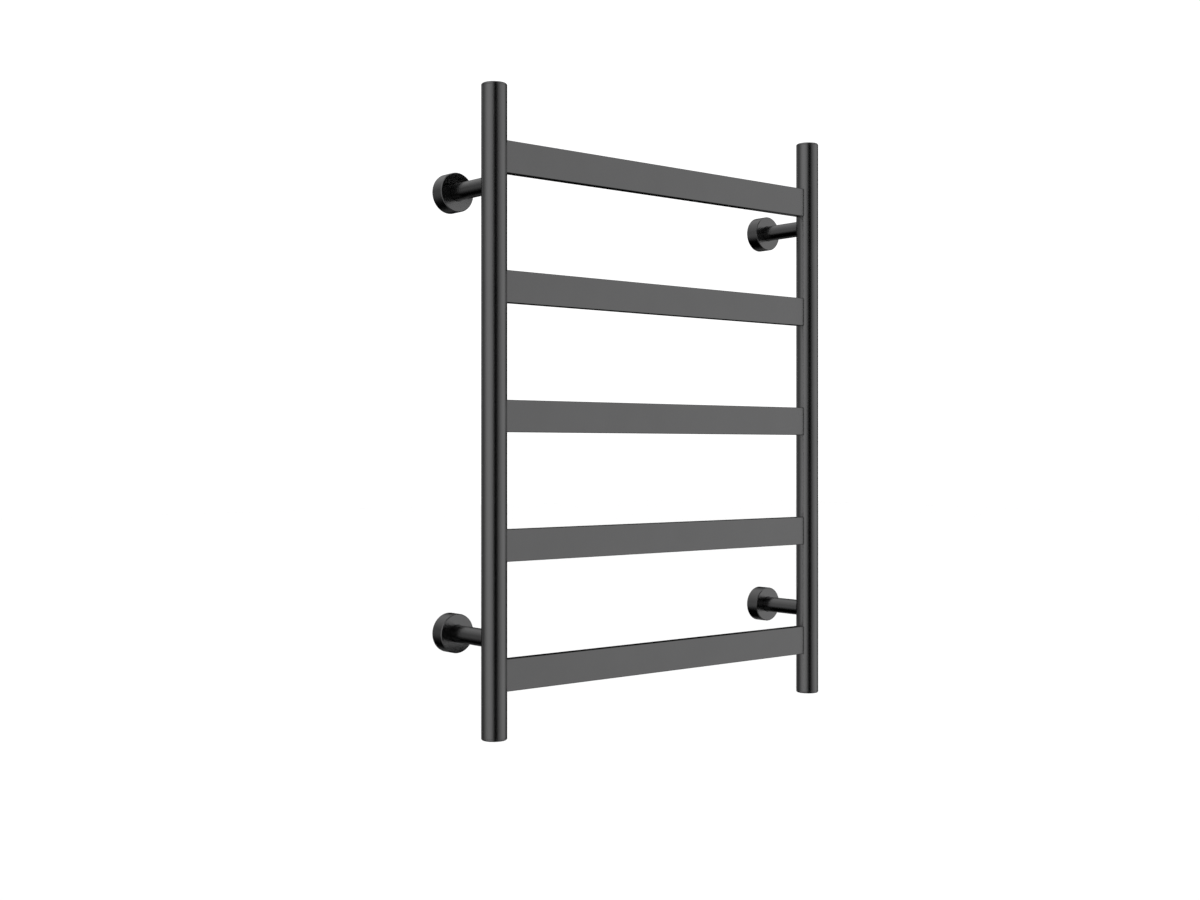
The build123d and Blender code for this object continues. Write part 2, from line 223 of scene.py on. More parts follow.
# ---------------------------------------------------------------- finishes
def coated_metal(name, look):
    """Satin graphite coating: dark metal with a fine pebble, clouds in its gloss, and small dull specks.

    The pebble's height is three parts of noise of the grain's size and one part of finer noise.
    """
    shader = new_shader(name)
    place = object_place(shader)
    pebble = noise(shader, place, look.grain, detail=3.0, roughness=0.62)
    fine = noise(shader, place, look.grain * 0.35, detail=1.0)
    clouds = noise(shader, place, look.cloud)
    specks = shader.signal("ValToRGB", {"stops": ((0.68, 0.0), (0.76, 1.0))}, Fac=fine)
    tone = (clouds * 0.5 + pebble * 0.35 + specks * 0.15).clamped()
    colour = mixed(shader, tone, *shades(look.metal_colour, look.tone_spread))
    rough = (clouds - 0.5) * 0.10 + (pebble - 0.5) * 0.08 + specks * 0.05 + look.roughness
    height = pebble * 0.75 + fine * 0.25
    bump = shader.signal("Bump", Height=height, Strength=look.grain_strength, Distance=look.grain_depth)
    surface = shader.signal("BsdfPrincipled", Base_Color=colour, Metallic=1.0, Roughness=rough, Normal=bump)
    return shader.finish(surface)


def turned_steel(name, look):
    """Zinc-plated steel with fine turning marks in rings about each post, and a faint mottle.

    The distance from the nearest post's axis is the root of (|x| - post x) squared plus (|z| - post z)
    squared.
    """
    shader = new_shader(name)
    place = object_place(shader)
    across, _, up = parts_of(shader, place)
    radius = ((across.size() - AXIS_X).power(2) + (up.size() - POST_Z).power(2)).power(0.5)
    marks = shader.signal(
        "TexNoise", {"noise_dimensions": "1D"}, W=radius, Scale=1 / look.turning, Detail=3.0)
    mottle = noise(shader, place, look.mottle, detail=4.0)
    grit = noise(shader, place, look.turning * 0.6)
    tone = (marks * 0.5 + mottle * 0.5).clamped()
    colour = mixed(shader, tone, *shades(look.steel_colour, 0.14))
    rough = (marks - 0.5) * 0.16 + (mottle - 0.5) * 0.22 + 0.42
    bump = shader.signal("Bump", Height=marks * 0.8 + grit * 0.2, Strength=0.35, Distance=0.03 * MM)
    surface = shader.signal("BsdfPrincipled", Base_Color=colour, Metallic=1.0, Roughness=rough, Normal=bump)
    return shader.finish(surface)


def plain_metal(name, colour, roughness, grain):
    """Bare metal with fine drawn scratches along Z, a mottle, and a little tarnish in patches."""
    shader = new_shader(name)
    drawn = noise(shader, object_place(shader, (1, 1, 0.12)), grain, detail=3.0)
    mottle = noise(shader, object_place(shader), grain * 9, detail=4.0)
    tarnish = shader.signal("ValToRGB", {"stops": ((0.52, 0.0), (0.74, 1.0))}, Fac=mottle)
    low, high = shades(colour, 0.12)
    dulled = [c * 0.62 for c in colour]
    base = mixed(shader, tarnish * 0.5, mixed(shader, drawn, low, high), dulled)
    rough = (drawn - 0.5) * 0.15 + tarnish * 0.18 + roughness
    bump = shader.signal("Bump", Height=drawn, Strength=0.3, Distance=0.03 * MM)
    surface = shader.signal("BsdfPrincipled", Base_Color=base, Metallic=1.0, Roughness=rough, Normal=bump)
    return shader.finish(surface)


def moulded(name, colour, roughness, grain, spread=0.08):
    """Moulded rubber, silicone or plastic: a fine tooled grain, and a shade and gloss that drift slowly."""
    shader = new_shader(name)
    place = object_place(shader)
    skin = noise(shader, place, grain, detail=4.0, roughness=0.6)
    drift = noise(shader, place, grain * 24, detail=2.0)
    tone = (drift * 0.65 + skin * 0.35).clamped()
    base = mixed(shader, tone, *shades(colour, spread))
    rough = (drift - 0.5) * 0.12 + (skin - 0.5) * 0.10 + roughness
    bump = shader.signal("Bump", Height=skin, Strength=0.4, Distance=0.04 * MM)
    return shader.finish(shader.signal("BsdfPrincipled", Base_Color=base, Roughness=rough, Normal=bump))


def earth_insulation(name):
    """Green insulation with yellow bands that run slantwise round the wire."""
    shader = new_shader(name)
    place = object_place(shader)
    bands = shader.signal(
        "TexWave", {"bands_direction": "DIAGONAL"}, out=1, Vector=place, Scale=22.0, Distortion=0.4)
    yellow = shader.signal("ValToRGB", {"stops": ((0.60, 0.0), (0.66, 1.0))}, Fac=bands)
    skin = noise(shader, place, 0.6 * MM, detail=3.0)
    green = mixed(shader, skin, *shades((0.02, 0.22, 0.05), 0.10))
    bump = shader.signal("Bump", Height=skin, Strength=0.3, Distance=0.03 * MM)
    surface = shader.signal(
        "BsdfPrincipled",
        Base_Color=mixed(shader, yellow, green, (0.72, 0.60, 0.04)),
        Roughness=(skin - 0.5) * 0.1 + 0.42,
        Normal=bump,
    )
    return shader.finish(surface)


def pale_floor(name):
    """A plain matt white floor with the faintest drift in its tone."""
    shader = new_shader(name)
    drift = noise(shader, object_place(shader), size=0.8)
    colour = mixed(shader, drift, (0.93, 0.93, 0.93), (0.95, 0.95, 0.95))
    return shader.finish(shader.signal("BsdfPrincipled", Base_Color=colour, Roughness=0.9))


# ---------------------------------------------------------------- surfaces
# Decimals of a metre to which points in the same place agree.
MERGE_DIGITS = 7


def unit(vectors):
    """Vectors made one long."""
    return vectors / np.linalg.norm(vectors, axis=-1, keepdims=True)


def spaced(edges, longest):
    """Places that hit every edge, with even steps in between that are no longer than longest."""
    edges = sorted(edges)
    runs = [
        np.linspace(start, end, math.ceil((end - start) / longest) + 1)[:-1]
        for start, end in zip(edges, edges[1:])
    ]
    return np.concatenate(runs + [edges[-1:]])


def rounded(corners, radii, steps=5, closed=True):
    """An outline that goes round its corners on arcs, with its outward normals.

    The corners run anticlockwise, so outwards is to the right of each side. An arc's centre lies on the
    corner's bisector, at radius / (1 + cos turn) times the sum of the two sides' normals, and the normal
    turns evenly from the one side's to the other's. An open outline keeps its first and last corners sharp.
    """
    corners = np.asarray(corners, float)
    radii = np.broadcast_to(radii, len(corners)).copy()
    if not closed:
        radii[[0, -1]] = 0
    ways = unit(np.roll(corners, -1, axis=0) - corners)
    normals_out = np.stack([ways[:, 1], -ways[:, 0]], axis=1)
    normals_in = np.roll(normals_out, 1, axis=0)
    start = np.arctan2(normals_in[:, 1], normals_in[:, 0])
    turn = np.arctan2(normals_out[:, 1], normals_out[:, 0]) - start
    turn = (turn + math.pi) % FULL_TURN - math.pi
    angle = start[:, None] + turn[:, None] * np.linspace(0, 1, steps + 1)
    normals = np.stack([np.cos(angle), np.sin(angle)], axis=-1)
    bend = np.sign(turn) * radii
    centres = corners - (bend / (1 + np.cos(turn)))[:, None] * (normals_in + normals_out)
    points = (centres[:, None] + bend[:, None, None] * normals).reshape(-1, 2)
    normals = normals.reshape(-1, 2)
    if closed:
        return np.concatenate([points, points[:1]]), np.concatenate([normals, normals[:1]])
    return points[steps:-steps], normals[steps:-steps]


def sheet(points, normals, keep=None):
    """A grid of points and normals as flat lists, with the four corners of each cell that is kept."""
    rows, columns = points.shape[:2]
    number = np.arange(rows * columns).reshape(rows, columns)
    cells = np.stack([number[:-1, :-1], number[1:, :-1], number[1:, 1:], number[:-1, 1:]], axis=-1)
    cells = cells.reshape(-1, 4) if keep is None else cells[keep]
    return points.reshape(-1, 3), np.broadcast_to(normals, points.shape).reshape(-1, 3), cells


def turned(outline, centre, axis, start, angles):
    """An outline of (radius, distance along the axis) points, turned about the axis through centre.

    A point is centre + distance * axis + radius * (cos a * start + sin a * side), for each angle a.
    """
    points, normals = outline
    side = np.cross(axis, start)
    out = np.cos(angles)[:, None] * start + np.sin(angles)[:, None] * side
    places = centre + points[:, 1, None, None] * axis + points[:, 0, None, None] * out
    facing = normals[:, 1, None, None] * axis + normals[:, 0, None, None] * out
    return sheet(places, facing)


def add_piece(name, sheets, finish, body="root", nodes=()):
    """Joins sheets into one closed mesh, and makes it a piece that stands for the nodes.

    Points in the same place become one vertex, cells with no area go, a pinched cell becomes a triangle,
    and each face is turned to agree with its normals, which become the mesh's own.
    """
    starts = np.cumsum([0] + [len(each[0]) for each in sheets[:-1]])
    points = np.concatenate([each[0] for each in sheets])
    normals = np.concatenate([each[1] for each in sheets])
    cells = np.concatenate([each[2] + start for each, start in zip(sheets, starts)])
    first, second, third, fourth = points[cells].swapaxes(0, 1)
    facing = np.cross(third - first, fourth - second)
    backward = (facing * normals[cells].sum(axis=1)).sum(axis=1) < 0
    cells[backward] = cells[backward][:, ::-1]
    places, vertex = np.unique(points.round(MERGE_DIGITS), axis=0, return_inverse=True)
    vertex = vertex.ravel()
    repeats = vertex[cells] == vertex[np.roll(cells, -1, axis=1)]
    pinched = repeats.sum(axis=1) == 1
    quads = cells[~repeats.any(axis=1)]
    triangles = cells[pinched][~repeats[pinched]].reshape(-1, 3)
    mesh = bpy.data.meshes.new(name)
    mesh.from_pydata(places.tolist(), [], vertex[quads].tolist() + vertex[triangles].tolist())
    mesh.shade_smooth()
    corners = np.concatenate([quads.ravel(), triangles.ravel()])
    mesh.normals_split_custom_set(normals[corners].tolist())
    mesh.materials.append(finish)
    piece = bpy.data.objects.new(name, mesh)
    bpy.context.scene.collection.objects.link(piece)
    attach(piece, body)
    if nodes:
        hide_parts(*nodes)
    return piece


def give_finish(nodes, finish):
    """Gives CAD nodes whose shape is right a finish."""
    for node in nodes:
        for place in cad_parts[node].material_slots:
            place.material = finish


def coat():
    """The rack's one coating, made when it is first asked for."""
    return bpy.data.materials.get("graphite_coating") or coated_metal(
        "graphite_coating", bpy.context.scene.rack_coating)


# ---------------------------------------------------------------- pierced tubes
# Where a hole is on its tube, half its size, and whether it is round and not rectangular.
Hole = namedtuple("Hole", "angle z half_width half_height is_round")
# How far a line of the grid may lie from a window's edge and still count as on it.
TINY = 1e-9


def pierced_tube(centre, radius, wall, half, holes, shape):
    """An upright tube wall with straight-sided holes.

    Outside and inside are the radius times (cos a, sin a), with the angle a along the columns and the
    height along the rows. A window of the grid is left out round each hole. A collar fills it: its rings go
    evenly, in angle and height, from the window's edge to the hole's, whose points lie where the hole's
    width is the radius times the sine of the angle from its middle. The edges at both ends are rounded.
    """
    inside = radius - wall
    margin = shape.hole_margin
    spread = {hole: math.asin((hole.half_width + margin) / radius) for hole in holes}
    seam = holes[0].angle - math.pi
    end = half - shape.edge_round
    both = np.array([-1, 1])
    angle_edges = {seam, seam + FULL_TURN} | {h.angle + way * spread[h] for h in holes for way in both}
    z_edges = {-end, end} | {h.z + way * (h.half_height + margin) for h in holes for way in both}
    angles = spaced(angle_edges, shape.column_step)
    heights = spaced(z_edges, shape.row_step)
    keep = np.ones((len(heights) - 1, len(angles) - 1), bool)

    def on_wall(r, angle, z):
        """Points on a round wall of radius r, and which way is out there."""
        out = np.stack([np.cos(angle), np.sin(angle), np.zeros_like(angle)], axis=-1)
        return centre + r * out + z[..., None] * UP, out

    sheets = []
    for hole in holes:
        tall = hole.half_height + margin
        left, right = np.searchsorted(angles, hole.angle + both * spread[hole] - TINY)
        low, high = np.searchsorted(heights, hole.z + both * tall - TINY)
        keep[low:high, left:right] = False
        columns, rows = np.arange(left, right), np.arange(low, high)
        ring_columns = np.concatenate(
            [columns, 0 * rows + right, columns[::-1] + 1, 0 * rows + left, [left]])
        ring_rows = np.concatenate(
            [0 * columns + low, rows, 0 * columns + high, rows[::-1] + 1, [low]])
        ring_angle, ring_z = angles[ring_columns], heights[ring_rows]
        u, v = (ring_angle - hole.angle) / spread[hole], (ring_z - hole.z) / tall
        if hole.is_round:
            u, v = unit(np.stack([u, v], axis=1)).T
            inward = -np.stack([u, v], axis=1)
        else:
            wide = abs(u) >= abs(v)
            inward = -np.stack([wide * np.sign(u), ~wide * np.sign(v)], axis=1)
        share = np.linspace(0, 1, shape.collar_rings + 1)[:, None]
        rims = []
        for r, way in ((radius, 1), (inside, -1)):
            hole_angle = hole.angle + np.arcsin(u * hole.half_width / r)
            hole_z = hole.z + v * hole.half_height
            points, out = on_wall(
                r, (1 - share) * ring_angle + share * hole_angle, (1 - share) * ring_z + share * hole_z)
            sheets.append(sheet(points, way * out))
            rims.append(points[-1])
        along = np.array([-math.sin(hole.angle), math.cos(hole.angle), 0.0])
        sheets.append(sheet(np.stack(rims), inward[:, :1] * along + inward[:, 1:] * UP))
    for r, way in ((radius, 1), (inside, -1)):
        points, out = on_wall(r, *np.meshgrid(angles, heights))
        sheets.append(sheet(points, way * out, keep))
    rim_corners = [(radius, end), (radius, half), (inside, half), (inside, end)]
    rim = rounded(rim_corners, shape.edge_round, closed=False)
    for way in both:
        sheets.append(turned(rim, centre, way * UP, TO_RIGHT, way * angles))
    return sheets


def weld_bead(origin, outwards, along, outline, size, rows=6, sunk=0.3):
    """A small fillet where a tube meets the round upright.

    Over the upright's axis its surface is as high as the root of radius squared less u squared. The bead's
    visible side is a quadratic curve: it leaves the tube's side at a height of size above the joint, is
    pulled to the joint, and ends on the upright at a distance of size from it. It is closed under both
    skins, sunk by a share of its size.
    """
    (u, v), (nu, nv) = outline[0].T, outline[1].T

    def over_upright(u, v, lift=0.0):
        height = np.sqrt(UPRIGHT_R**2 - u**2) + lift
        return origin + u[:, None] * along + v[:, None] * UP + height[:, None] * outwards

    on_tube = over_upright(u, v, size)
    joint = over_upright(u, v)
    on_upright = over_upright(u + size * nu, v + size * nv)
    depth = sunk * size
    under = over_upright(u - depth * nu, v - depth * nv, -depth)
    t = np.linspace(0, 1, rows + 1)[:, None, None]
    points = (1 - t) ** 2 * on_tube + 2 * t * (1 - t) * joint + t**2 * on_upright
    across = (1 - t) * (joint - on_tube) + t * (on_upright - joint)
    around = np.gradient(points, axis=1)
    around[:, 0] = around[:, -1] = points[:, 1] - points[:, -2]
    out = nu[:, None] * along + nv[:, None] * UP + outwards
    normals = unit(np.cross(around, across))
    normals *= np.sign((normals * out).sum(axis=-1, keepdims=True))
    hidden = np.stack([on_upright, under, on_tube])
    return [sheet(points, normals), sheet(hidden, -out)]


# ---------------------------------------------------------------- settings
class RackShape(bpy.types.PropertyGroup):
    """Walls and edges of the coated pieces, and how finely they are divided."""

    upright_wall: FloatProperty(
        name="Upright wall", description="Wall of the uprights", unit="LENGTH", default=1.5 * MM)
    bar_wall: FloatProperty(
        name="Bar wall", description="Wall of the crossbars", unit="LENGTH", default=1.5 * MM)
    bar_corner: FloatProperty(
        name="Bar corner", description="Outside corner radius of the crossbars", unit="LENGTH",
        default=1.0 * MM)
    post_wall: FloatProperty(
        name="Post wall", description="Wall of the posts", unit="LENGTH", default=1.8 * MM)
    slip_fit: FloatProperty(
        name="Slip fit", description="Gap round a tube let into an upright, and round a cap's spigot",
        unit="LENGTH", default=0.05 * MM)
    edge_round: FloatProperty(
        name="Edge rounding", description="Radius of the eased edges", unit="LENGTH", default=0.25 * MM)
    cap_chamfer: FloatProperty(
        name="Cap chamfer", description="Chamfer round the end caps", unit="LENGTH", default=1.2 * MM)
    earth_hole_radius: FloatProperty(
        name="Earth hole radius", description="Radius of the earth screw's hole", unit="LENGTH",
        default=2.02 * MM)
    earth_hole_depth: FloatProperty(
        name="Earth hole depth", description="Depth of the earth screw's hole", unit="LENGTH",
        default=6 * MM)
    cover_wall: FloatProperty(
        name="Cover wall", description="Wall of the cover flanges", unit="LENGTH", default=1.5 * MM)
    cover_face: FloatProperty(
        name="Cover face", description="Thickness of the covers' front", unit="LENGTH", default=2.0 * MM)
    cover_chamfer: FloatProperty(
        name="Cover chamfer", description="Chamfer round the covers' front", unit="LENGTH",
        default=0.9 * MM)
    cover_clearance: FloatProperty(
        name="Cover clearance", description="Gap between a cover's bore and its post", unit="LENGTH",
        default=0.3 * MM)
    boss_wall: FloatProperty(
        name="Boss wall", description="Wall of the boss behind a cover's bore", unit="LENGTH",
        default=3.5 * MM)
    boss_depth: FloatProperty(
        name="Boss depth", description="Depth of the boss from the cover's front", unit="LENGTH",
        default=6.5 * MM)
    groove_gap: FloatProperty(
        name="Groove gap", description="Gap on each side of the ring in a cover's groove", unit="LENGTH",
        default=0.16 * MM)
    weld_size: FloatProperty(
        name="Weld size", description="Leg of the weld fillets", unit="LENGTH", default=0.9 * MM)
    hole_margin: FloatProperty(
        name="Hole margin", description="Width of the fine mesh round each hole", unit="LENGTH",
        default=1.4 * MM)
    column_step: FloatProperty(
        name="Column step", description="Largest angle between columns of a tube", subtype="ANGLE",
        default=math.radians(5))
    row_step: FloatProperty(
        name="Row step", description="Largest height between rows of an upright", unit="LENGTH",
        default=8 * MM)
    collar_rings: IntProperty(
        name="Collar rings", description="Rings of mesh round each hole", default=3, min=1)
    columns: IntProperty(
        name="Columns", description="Columns round each turned piece", default=128, min=12)


class RackCoating(bpy.types.PropertyGroup):
    """The coating's colour, gloss and grain."""

    metal_colour: FloatVectorProperty(
        name="Coating colour", description="Reflected colour of the coating", subtype="COLOR",
        size=3, default=(0.132, 0.132, 0.133), min=0.0, max=1.0)
    roughness: FloatProperty(
        name="Roughness", description="Average roughness of the coating", default=0.18, min=0.0, max=1.0)
    tone_spread: FloatProperty(
        name="Tone spread", description="How far the tone strays either way",
        default=0.10, min=0.0, max=1.0)
    grain: FloatProperty(
        name="Grain size", description="Width of the coating's pebble", unit="LENGTH", default=1.3 * MM)
    grain_depth: FloatProperty(
        name="Grain depth", description="Depth of the pebble", unit="LENGTH", default=0.16 * MM)
    grain_strength: FloatProperty(
        name="Grain strength", description="Share of the pebble that shows",
        default=1.0, min=0.0, max=1.0)
    cloud: FloatProperty(
        name="Cloud size", description="Width of the soft clouds in the gloss", unit="LENGTH",
        default=45 * MM)


class RackHardware(bpy.types.PropertyGroup):
    """The bare metal and the soft parts behind the covers."""

    steel_colour: FloatVectorProperty(
        name="Steel colour", description="Colour of the wall brackets", subtype="COLOR",
        size=3, default=(0.56, 0.57, 0.58), min=0.0, max=1.0)
    turning: FloatProperty(
        name="Turning marks", description="Width of the turning marks", unit="LENGTH", default=0.5 * MM)
    mottle: FloatProperty(
        name="Mottle", description="Width of the plating's mottle", unit="LENGTH", default=6 * MM)
    rubber_colour: FloatVectorProperty(
        name="Rubber colour", description="Colour of the grommet and the grip rings", subtype="COLOR",
        size=3, default=(0.018, 0.018, 0.019), min=0.0, max=1.0)
    heater_colour: FloatVectorProperty(
        name="Heating cable colour", description="Colour of the heating cable's silicone", subtype="COLOR",
        size=3, default=(0.42, 0.045, 0.03), min=0.0, max=1.0)


class RackStage(bpy.types.PropertyGroup):
    """The camera, the light and the floor."""

    camera_place: FloatVectorProperty(
        name="Camera place", description="Where the camera stands", subtype="TRANSLATION", unit="LENGTH",
        size=3, default=(-1.370, -1.595, -0.047))
    camera_turn: FloatProperty(
        name="Camera turn", description="How far the camera is turned to the right", subtype="ANGLE",
        default=math.radians(40.01))
    lens: FloatProperty(name="Lens", description="Focal length in millimetres", default=45.02, min=10.0)
    floor_drop: FloatProperty(
        name="Floor drop", description="How far the floor lies below the rack", unit="LENGTH", default=0.6)
    floor_size: FloatProperty(
        name="Floor size", description="Half the width of the floor", unit="LENGTH", default=20.0)
    left_light: FloatProperty(
        name="Left light", description="Brightness of the soft light on the left", default=1.12, min=0.0)
    right_light: FloatProperty(
        name="Right light", description="Brightness of the soft light on the right", default=1.04, min=0.0)
    rear_light: FloatProperty(
        name="Rear light", description="Brightness of the light behind the rack", default=0.36, min=0.0)
    low_light: FloatProperty(
        name="Low light", description="Brightness of the low light behind on the right",
        default=0.4, min=0.0)
    floor_light: FloatProperty(
        name="Floor light", description="Brightness of the floor in front of the rack",
        default=0.4, min=0.0)
    ceiling_light: FloatProperty(
        name="Ceiling light", description="Brightness of the light overhead", default=0.82, min=0.0)
    room_light: FloatProperty(
        name="Room light", description="Brightness of the even light that all but reflections see",
        default=1.12, min=0.0)


# ---------------------------------------------------------------- coated pieces
def all_round(shape):
    """The angles of a turned piece's columns."""
    return np.linspace(0, FULL_TURN, shape.columns + 1)


def bar_outline(inset, corner):
    """A crossbar's outline about its middle, in (y, z), with an inset from its box and a corner radius."""
    deep, tall = BAR_HALF_DEPTH - inset, BAR_HALF_HEIGHT - inset
    return rounded([(-deep, -tall), (deep, -tall), (deep, tall), (-deep, tall)], corner)


class RACK_OT_uprights(bpy.types.Operator):
    """Makes the two uprights as tube walls with a slot for each bar and a hole for each post"""

    bl_idname = "rack.uprights"
    bl_label = "Uprights"

    def execute(self, context):
        shape = context.scene.rack_shape
        fit = shape.slip_fit
        for name, side in SIDES.items():
            to_bars = math.pi if side > 0 else 0.0
            slots = [
                Hole(to_bars, middle(bar)[2], BAR_HALF_DEPTH + fit, BAR_HALF_HEIGHT + fit, is_round=False)
                for bar in BARS
            ]
            sockets = [
                Hole(math.pi / 2, way * POST_Z, POST_R + fit, POST_R + fit, is_round=True)
                for way in (-1, 1)
            ]
            centre = np.array([side * AXIS_X, AXIS_Y, 0.0])
            sheets = pierced_tube(
                centre, UPRIGHT_R, shape.upright_wall, UPRIGHT_HALF, slots + sockets, shape)
            add_piece(f"upright_{name}_skin", sheets, coat(), nodes=[f"upright_{name}"])
        return {"FINISHED"}


class RACK_OT_end_caps(bpy.types.Operator):
    """Makes the four end caps, turned with a chamfer and a spigot, one with the earth screw's hole"""

    bl_idname = "rack.end_caps"
    bl_label = "End caps"

    def execute(self, context):
        shape = context.scene.rack_shape
        angles = all_round(shape)
        spigot_r = UPRIGHT_R - shape.upright_wall - shape.slip_fit
        for end, way in ENDS.items():
            for name, side in SIDES.items():
                node = f"end_cap_{end}_{name}"
                z = way * middle(node)[2]
                tip, top = z - half_size(node)[2] - UPRIGHT_HALF, z + half_size(node)[2] - UPRIGHT_HALF
                start = [(0, tip)]
                if node == EARTHED_CAP:
                    hole_r, floor = shape.earth_hole_radius, tip + shape.earth_hole_depth
                    start = [(0, floor), (hole_r, floor), (hole_r, tip)]
                outline = start + [
                    (spigot_r, tip),
                    (spigot_r, 0),
                    (UPRIGHT_R, 0),
                    (UPRIGHT_R, top - shape.cap_chamfer),
                    (UPRIGHT_R - shape.cap_chamfer, top),
                    (0, top),
                ]
                profile = rounded(outline, shape.edge_round, closed=False)
                seat = np.array([side * AXIS_X, AXIS_Y, way * UPRIGHT_HALF])
                sheets = [turned(profile, seat, way * UP, TO_RIGHT, angles)]
                add_piece(f"{node}_skin", sheets, coat(), nodes=[node])
        return {"FINISHED"}


class RACK_OT_crossbars(bpy.types.Operator):
    """Makes the five crossbars as rectangular tubes with rounded corners"""

    bl_idname = "rack.crossbars"
    bl_label = "Crossbars"

    def execute(self, context):
        shape = context.scene.rack_shape
        skins = [bar_outline(0.0, shape.bar_corner), bar_outline(shape.bar_wall, shape.edge_round)]
        for bar in BARS:
            low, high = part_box(bar)
            y, z = middle(bar)[1:]
            ends = []
            sheets = []
            for (points, normals), way in zip(skins, (1, -1)):
                ring = np.stack([np.zeros(len(points)), y + points[:, 0], z + points[:, 1]], axis=1)
                facing = way * np.insert(normals, 0, 0.0, axis=1)
                lines = np.stack([ring + low.x * TO_RIGHT, ring + high.x * TO_RIGHT])
                sheets.append(sheet(lines, facing))
                ends.append(lines)
            outer, inner = ends
            for i, way in ((0, -1), (1, 1)):
                sheets.append(sheet(np.stack([outer[i], inner[i]]), way * TO_RIGHT))
            add_piece(f"{bar}_skin", sheets, coat(), nodes=[bar])
        return {"FINISHED"}


class RACK_OT_posts(bpy.types.Operator):
    """Makes the four stand-off posts as turned tube walls"""

    bl_idname = "rack.posts"
    bl_label = "Posts"

    def execute(self, context):
        shape = context.scene.rack_shape
        angles = all_round(shape)
        for place in CORNERS:
            node = f"post_{place}"
            low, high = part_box(node)
            inside = POST_R - shape.post_wall
            outline = [(inside, -high.y), (POST_R, -high.y), (POST_R, -low.y), (inside, -low.y)]
            centre = middle(node) * (1, 0, 1)
            sheets = [turned(rounded(outline, shape.edge_round), centre, -TO_WALL, TO_RIGHT, angles)]
            add_piece(f"{node}_skin", sheets, coat(), nodes=[node])
        return {"FINISHED"}


class RACK_OT_covers(bpy.types.Operator):
    """Makes the four cover flanges, turned cups with a groove for the grip ring"""

    bl_idname = "rack.covers"
    bl_label = "Cover flanges"

    def execute(self, context):
        shape = context.scene.rack_shape
        angles = all_round(shape)
        for place in CORNERS:
            node = f"cover_{place}"
            centre = middle(node) * (1, 0, 1)
            outside, half_depth, _ = half_size(node)
            depth = 2 * half_depth
            inside = outside - shape.cover_wall
            bore = POST_R + shape.cover_clearance
            ring = half_size(f"grip_ring_{place}")
            groove_floor = ring[0] + shape.slip_fit
            groove = -middle(f"grip_ring_{place}")[1]
            half_groove = ring[1] + shape.groove_gap
            boss = bore + shape.boss_wall
            outline = [
                (inside, 0),
                (outside, 0),
                (outside, depth - shape.cover_chamfer),
                (outside - shape.cover_chamfer, depth),
                (bore, depth),
                (bore, groove + half_groove),
                (groove_floor, groove + half_groove),
                (groove_floor, groove - half_groove),
                (bore, groove - half_groove),
                (bore, depth - shape.boss_depth),
                (boss, depth - shape.boss_depth),
                (boss, depth - shape.cover_face),
                (inside, depth - shape.cover_face),
            ]
            sheets = [turned(rounded(outline, shape.edge_round), centre, -TO_WALL, TO_RIGHT, angles)]
            add_piece(f"{node}_skin", sheets, coat(), body=f"{node}_slider", nodes=[node])
        return {"FINISHED"}


class RACK_OT_welds(bpy.types.Operator):
    """Makes the weld fillets where the bars and the posts meet the uprights"""

    bl_idname = "rack.welds"
    bl_label = "Welds"

    def execute(self, context):
        shape = context.scene.rack_shape
        bar_section = bar_outline(0.0, shape.bar_corner)
        angles = all_round(shape)
        round_out = np.stack([np.cos(angles), np.sin(angles)], axis=1)
        post_section = (POST_R * round_out, round_out)
        for name, side in SIDES.items():
            beads = []
            for bar in BARS:
                origin = np.array([side * AXIS_X, AXIS_Y, middle(bar)[2]])
                beads += weld_bead(origin, -side * TO_RIGHT, TO_WALL, bar_section, shape.weld_size)
            for way in (-1, 1):
                origin = np.array([side * AXIS_X, AXIS_Y, way * POST_Z])
                beads += weld_bead(origin, TO_WALL, TO_RIGHT, post_section, shape.weld_size)
            add_piece(f"welds_{name}", beads, coat())
        return {"FINISHED"}


# ---------------------------------------------------------------- finishes on CAD nodes
Moulding = namedtuple("Moulding", "name nodes colour roughness grain")
MOULDINGS = (
    Moulding("white_silicone", ["heating_cable_spacers"], (0.74, 0.73, 0.70), 0.50, 0.6 * MM),
    Moulding("lead_sheath", ["supply_lead", "splice_sleeve"], (0.05, 0.05, 0.05), 0.38, 0.7 * MM),
    Moulding("potting_plastic", ["thermal_cutout"], (0.03, 0.03, 0.035), 0.30, 0.5 * MM),
    Moulding("connector_plastic", ["supply_connector"], (0.60, 0.59, 0.55), 0.40, 0.4 * MM),
)


class RACK_OT_brackets(bpy.types.Operator):
    """Gives the wall brackets, the grub screws and the earth screw their bare steel"""

    bl_idname = "rack.brackets"
    bl_label = "Brackets and screws"

    def execute(self, context):
        hardware = context.scene.rack_hardware
        give_finish([f"wall_bracket_{place}" for place in CORNERS], turned_steel("plated_steel", hardware))
        screw_steel = plain_metal("screw_steel", (0.30, 0.30, 0.31), roughness=0.34, grain=0.5 * MM)
        give_finish(["grub_screws", "earth_screw"], screw_steel)
        return {"FINISHED"}


class RACK_OT_rubber(bpy.types.Operator):
    """Gives the grip rings and the cable grommet their rubber"""

    bl_idname = "rack.rubber"
    bl_label = "Rubber parts"

    def execute(self, context):
        colour = context.scene.rack_hardware.rubber_colour
        rubber = moulded("black_rubber", colour, roughness=0.62, grain=0.4 * MM, spread=0.2)
        give_finish([f"grip_ring_{place}" for place in CORNERS] + ["cable_grommet"], rubber)
        return {"FINISHED"}


